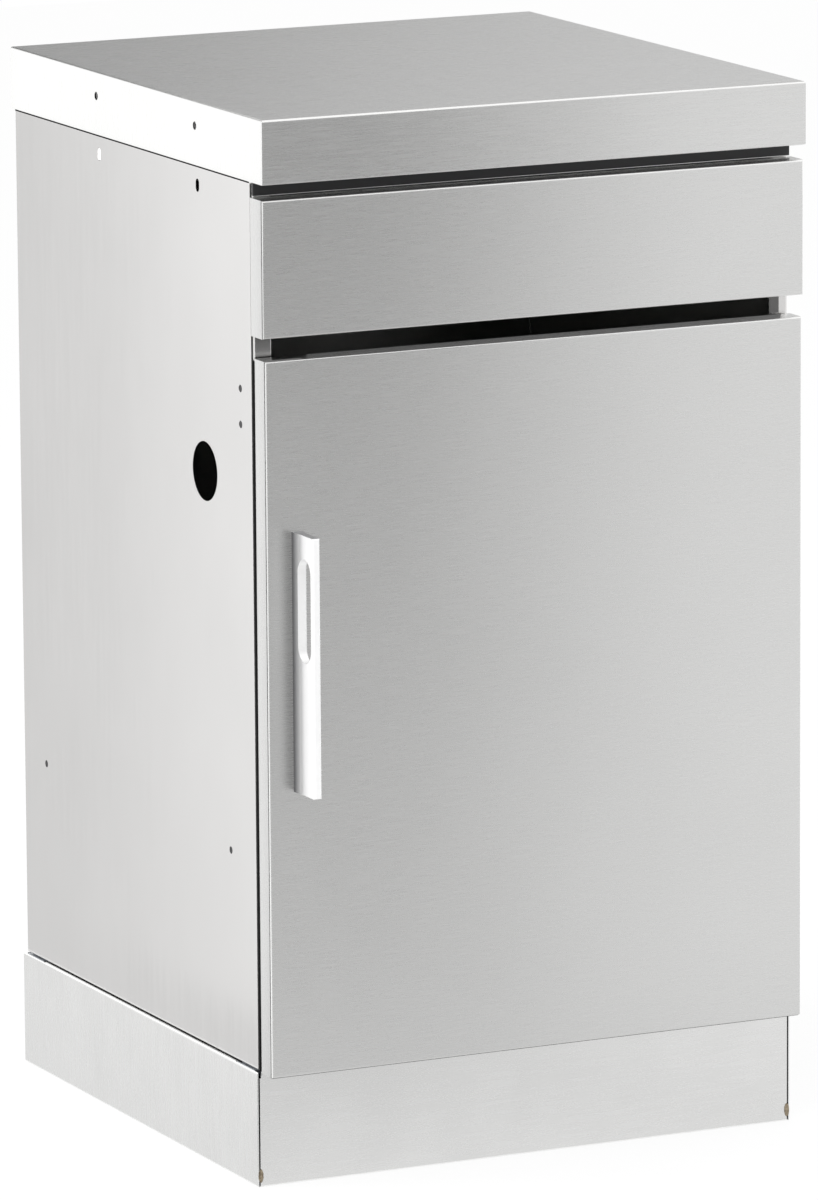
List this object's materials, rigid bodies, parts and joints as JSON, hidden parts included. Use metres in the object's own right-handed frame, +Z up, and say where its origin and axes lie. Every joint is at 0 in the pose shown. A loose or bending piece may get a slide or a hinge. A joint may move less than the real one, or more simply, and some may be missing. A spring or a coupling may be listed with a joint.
{
  "type": "outdoor kitchen cabinet",
  "caption": "Free-standing folded stainless steel cabinet with a worktop, a drawer over a hinged door, a shelf, a plinth with levelling feet, and linking holes in its sides.",
  "frame": {"origin": "on the floor, in the middle of the ground that the whole object covers, the handle included", "axes": "+X to the right seen from the front, +Y from the front to the back, +Z up"},
  "size_m": [0.5, 0.5544, 0.9],
  "materials": {
    "stainless_brushed": "fine horizontal brushing",
    "stainless_plinth": "smooth satin",
    "stainless_mill": "cold rolled, smooth",
    "handle_aluminium": "fine matt anodised",
    "hardware_steel": "zinc plated",
    "runner_zinc": "bright zinc plated",
    "foot_plastic": "moulded, matt",
    "catch_plastic": "moulded, matt",
    "stud_plastic": "moulded, matt",
    "magnet": "ground ferrite",
    "bush_nylon": "machined nylon",
    "stop_rubber": "matt"
  },
  "bodies": {
    "cabinet": {"worktop": "stainless_brushed", "worktop_rib_front": "stainless_mill", "worktop_rib_rear": "stainless_mill", "worktop_nuts": "hardware_steel", "side_panel_left": "stainless_brushed", "side_panel_right": "stainless_brushed", "back_panel": "stainless_mill", "back_panel_screws": "hardware_steel", "base_panel": "stainless_mill", "front_rail": "stainless_mill", "rear_rail": "stainless_mill", "shelf": "stainless_mill", "shelf_rivets": "stud_plastic", "plinth_front": "stainless_plinth", "plinth_back": "stainless_plinth", "plinth_left": "stainless_plinth", "plinth_right": "stainless_plinth", "corner_bracket_front_left": "hardware_steel", "corner_bracket_front_right": "hardware_steel", "corner_bracket_rear_left": "hardware_steel", "corner_bracket_rear_right": "hardware_steel", "foot_nuts": "hardware_steel", "base_bolts": "hardware_steel", "catch_body": "catch_plastic", "catch_magnet": "magnet", "hinge_bracket_lower": "hardware_steel", "hinge_bracket_upper": "hardware_steel", "hinge_bushes": "bush_nylon", "hinge_screws": "hardware_steel", "runner_bracket_left": "hardware_steel", "runner_bracket_right": "hardware_steel", "runner_outer_left": "runner_zinc", "runner_outer_right": "runner_zinc", "runner_screws": "hardware_steel"},
    "door": {"door_skin": "stainless_brushed", "door_liner": "stainless_mill", "door_handle": "handle_aluminium", "handle_screws": "hardware_steel", "handle_spacers": "hardware_steel", "hinge_cage_lower": "hardware_steel", "hinge_cage_upper": "hardware_steel", "hinge_pins": "hardware_steel", "strike_plate": "hardware_steel", "door_bumpers": "stop_rubber"},
    "drawer": {"runner_inner_left": "runner_zinc", "runner_inner_right": "runner_zinc", "drawer_runner_screws": "hardware_steel", "drawer_front": "stainless_brushed", "drawer_front_liner": "stainless_mill", "drawer_tray": "stainless_mill", "drawer_box_front": "stainless_mill", "drawer_box_back": "stainless_mill", "drawer_front_screws": "hardware_steel", "drawer_bumpers": "stop_rubber"},
    "runner_left": {"runner_middle_left": "runner_zinc"},
    "runner_right": {"runner_middle_right": "runner_zinc"},
    "levelling_foot_front_left": {"foot_front_left": "foot_plastic"},
    "levelling_foot_front_right": {"foot_front_right": "foot_plastic"},
    "levelling_foot_rear_left": {"foot_rear_left": "foot_plastic"},
    "levelling_foot_rear_right": {"foot_rear_right": "foot_plastic"}
  },
  "joints": [
    {"name": "door_hinge", "type": "hinge", "parent": "cabinet", "child": "door", "pos_m": [0.24, -0.23, 0.4], "axis": [0, 0, 1], "range_deg": [0, 105]},
    {"name": "drawer_slide", "type": "slide", "parent": "cabinet", "child": "drawer", "axis": [0, -1, 0], "range_m": [0, 0.4]},
    {"name": "runner_left_slide", "type": "slide", "parent": "cabinet", "child": "runner_left", "axis": [0, -1, 0], "range_m": [0, 0.2]},
    {"name": "runner_right_slide", "type": "slide", "parent": "cabinet", "child": "runner_right", "axis": [0, -1, 0], "range_m": [0, 0.2]},
    {"name": "levelling_foot_front_left_screw", "type": "slide", "parent": "cabinet", "child": "levelling_foot_front_left", "axis": [0, 0, -1], "range_m": [0, 0.02]},
    {"name": "levelling_foot_front_right_screw", "type": "slide", "parent": "cabinet", "child": "levelling_foot_front_right", "axis": [0, 0, -1], "range_m": [0, 0.02]},
    {"name": "levelling_foot_rear_left_screw", "type": "slide", "parent": "cabinet", "child": "levelling_foot_rear_left", "axis": [0, 0, -1], "range_m": [0, 0.02]},
    {"name": "levelling_foot_rear_right_screw", "type": "slide", "parent": "cabinet", "child": "levelling_foot_rear_right", "axis": [0, 0, -1], "range_m": [0, 0.02]}
  ],
  "couplings": [
    {"joint": "runner_left_slide", "follows": "drawer_slide", "ratio": 0.5},
    {"joint": "runner_right_slide", "follows": "drawer_slide", "ratio": 0.5}
  ]
}
